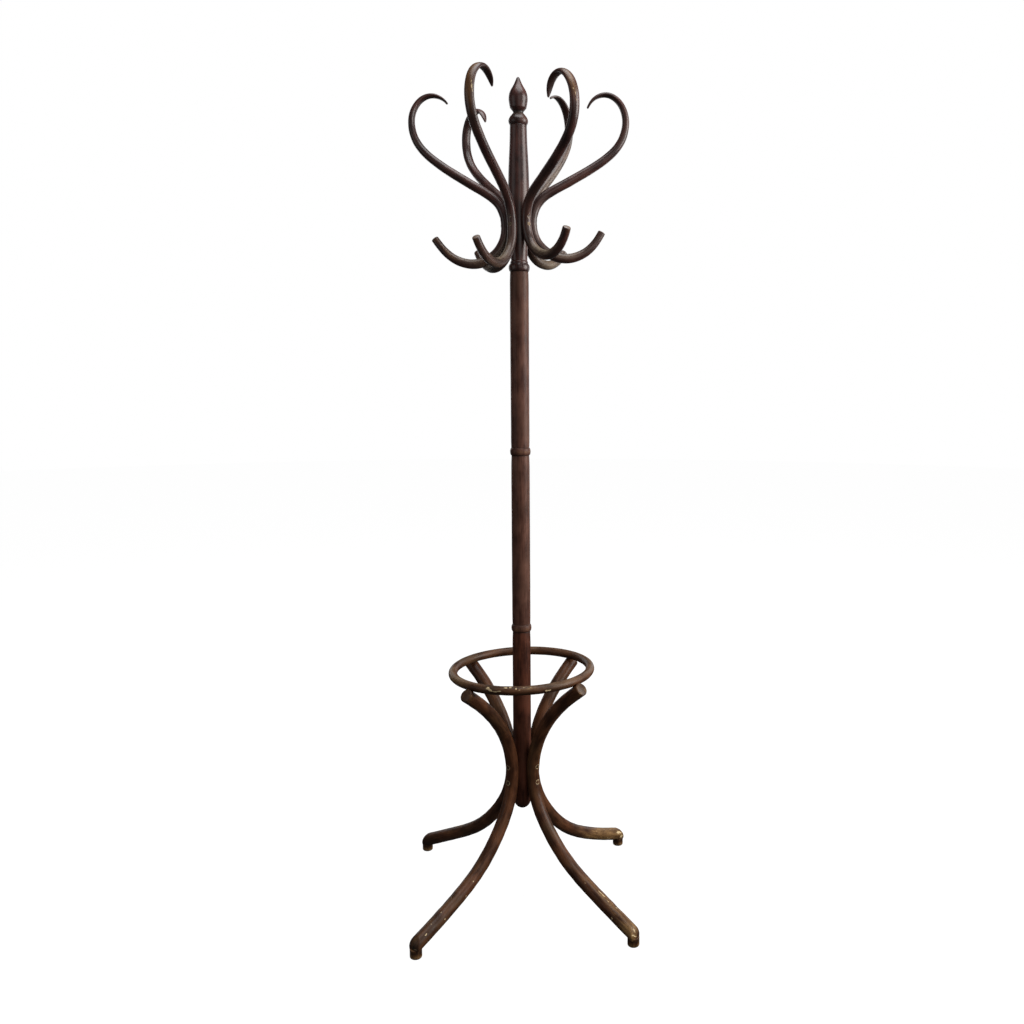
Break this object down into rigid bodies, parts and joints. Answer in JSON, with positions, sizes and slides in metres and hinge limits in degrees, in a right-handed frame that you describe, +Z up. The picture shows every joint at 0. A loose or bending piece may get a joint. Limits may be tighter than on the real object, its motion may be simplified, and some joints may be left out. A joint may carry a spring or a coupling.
{
  "type": "coat rack",
  "caption": "Free-standing bentwood coat and hat stand: a turned pole with a finial carries S-shaped hooks, and splayed S-shaped legs hold a hoop for umbrellas.",
  "frame": {"origin": "on the floor, under the pole's axis", "axes": "+Z up along the pole, -Y towards the front, +X to the right as seen from the front"},
  "size_m": [0.5563, 0.5462, 1.96],
  "materials": {
    "turned_wood": "dark stain under satin varnish",
    "bent_wood": "dark stain under satin varnish, worn through at the edges",
    "dowel_wood": "bare beech",
    "plug_wood": "dark stain under satin varnish",
    "screw_steel": "darkened steel"
  },
  "bodies": {
    "root": {"finial": "turned_wood", "pole_top": "turned_wood", "pole_upper": "turned_wood", "pole_middle": "turned_wood", "pole_lower": "turned_wood", "foot_back_right": "turned_wood", "foot_back_left": "turned_wood", "foot_front_left": "turned_wood", "foot_front_right": "turned_wood", "hook_right": "bent_wood", "hook_back_right": "bent_wood", "hook_back_left": "bent_wood", "hook_left": "bent_wood", "hook_front_left": "bent_wood", "hook_front_right": "bent_wood", "leg_back_right": "bent_wood", "leg_back_left": "bent_wood", "leg_front_left": "bent_wood", "leg_front_right": "bent_wood", "umbrella_hoop": "bent_wood", "pole_dowel_upper": "dowel_wood", "pole_dowel_middle": "dowel_wood", "pole_dowel_lower": "dowel_wood", "leg_plugs": "plug_wood", "hook_screws": "screw_steel", "leg_screws": "screw_steel", "hoop_screws": "screw_steel", "foot_screws": "screw_steel"}
  },
  "joints": []
}
